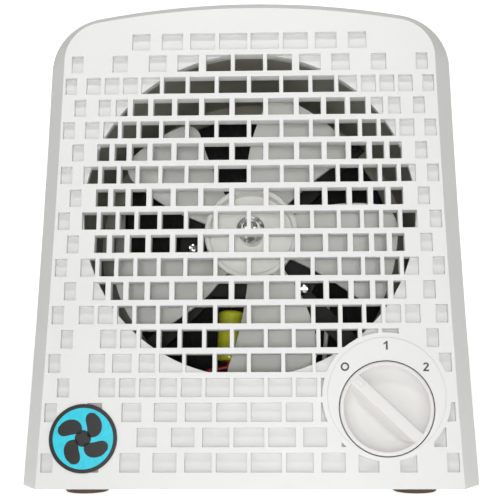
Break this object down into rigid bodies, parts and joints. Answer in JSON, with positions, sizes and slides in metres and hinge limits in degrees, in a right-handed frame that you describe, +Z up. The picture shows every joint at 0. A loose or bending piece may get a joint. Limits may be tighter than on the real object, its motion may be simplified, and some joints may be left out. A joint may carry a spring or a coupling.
{
  "type": "drying fan",
  "caption": "Leaning box-shaped table fan for drying, with a brick-pattern front grille, an axial fan, a rotary speed knob, rubber feet and a hinged rear filter door.",
  "frame": {"origin": "on the surface it stands on, under the middle of the bounding box", "axes": "+Z up, the grille faces -Y, +X to the right seen from the front"},
  "size_m": [0.2244, 0.158, 0.2557],
  "materials": {
    "case_plastic": "fine satin moulded",
    "knob_plastic": "satin moulded",
    "fan_plastic": "moulded",
    "duct_plastic": "moulded",
    "black_plastic": "moulded",
    "filter_fabric": "carbon felt",
    "block_plastic": "translucent white",
    "sleeve_plastic": "shrink sleeve",
    "red_insulation": "wire insulation",
    "white_insulation": "wire insulation",
    "black_insulation": "wire insulation",
    "label_plastic": "printed label",
    "chrome": "plated",
    "steel": "zinc plated",
    "rotor_metal": "cast",
    "lamination": "stacked sheet",
    "black_metal": "satin",
    "copper": "enamelled wire",
    "bronze": "sintered",
    "black_rubber": "matt",
    "brown_rubber": "matt"
  },
  "bodies": {
    "case": {"front_panel": "case_plastic", "rear_housing": "case_plastic", "hinge_pins": "steel", "filter_frame": "black_plastic", "filter_media": "filter_fabric", "fan_duct": "duct_plastic", "motor_stator": "lamination", "motor_coil": "copper", "coil_bobbin": "black_plastic", "motor_bracket": "black_plastic", "motor_plate": "black_metal", "rear_bridge": "steel", "front_bearing": "bronze", "rear_bearing": "bronze", "motor_spacers": "steel", "motor_screws": "chrome", "stack_screws": "steel", "bracket_screws": "black_metal", "duct_screws": "steel", "case_screws": "steel", "switch_body": "black_plastic", "switch_nut": "steel", "round_label": "label_plastic", "splice_sleeve": "sleeve_plastic", "lead_red": "red_insulation", "lead_black": "black_insulation", "lead_coil": "black_insulation", "lead_white": "white_insulation", "terminal_block": "block_plastic", "wire_clip": "black_plastic", "cord_gland": "black_rubber", "foot_front_left": "brown_rubber", "foot_front_right": "brown_rubber", "foot_rear_left": "brown_rubber", "foot_rear_right": "brown_rubber"},
    "fan": {"fan_impeller": "fan_plastic", "fan_washer": "chrome", "fan_nut": "chrome", "motor_shaft": "steel", "motor_rotor": "rotor_metal"},
    "knob": {"knob": "knob_plastic", "switch_shaft": "steel"},
    "rear_door": {"rear_grille": "case_plastic"}
  },
  "joints": [
    {"name": "fan_spin", "type": "hinge", "parent": "case", "child": "fan", "pos_m": [0, -0.00086, 0.12888], "axis": [0, -0.9903, 0.1392], "continuous": true},
    {"name": "knob_turn", "type": "hinge", "parent": "case", "child": "knob", "pos_m": [0.0667, -0.06874, 0.04107], "axis": [0, 0.9903, -0.1392], "range_deg": [0, 90]},
    {"name": "door_hinge", "type": "hinge", "parent": "case", "child": "rear_door", "pos_m": [-0.088, 0.0746, 0.128], "axis": [0, 0, 1], "range_deg": [0, 110]}
  ]
}
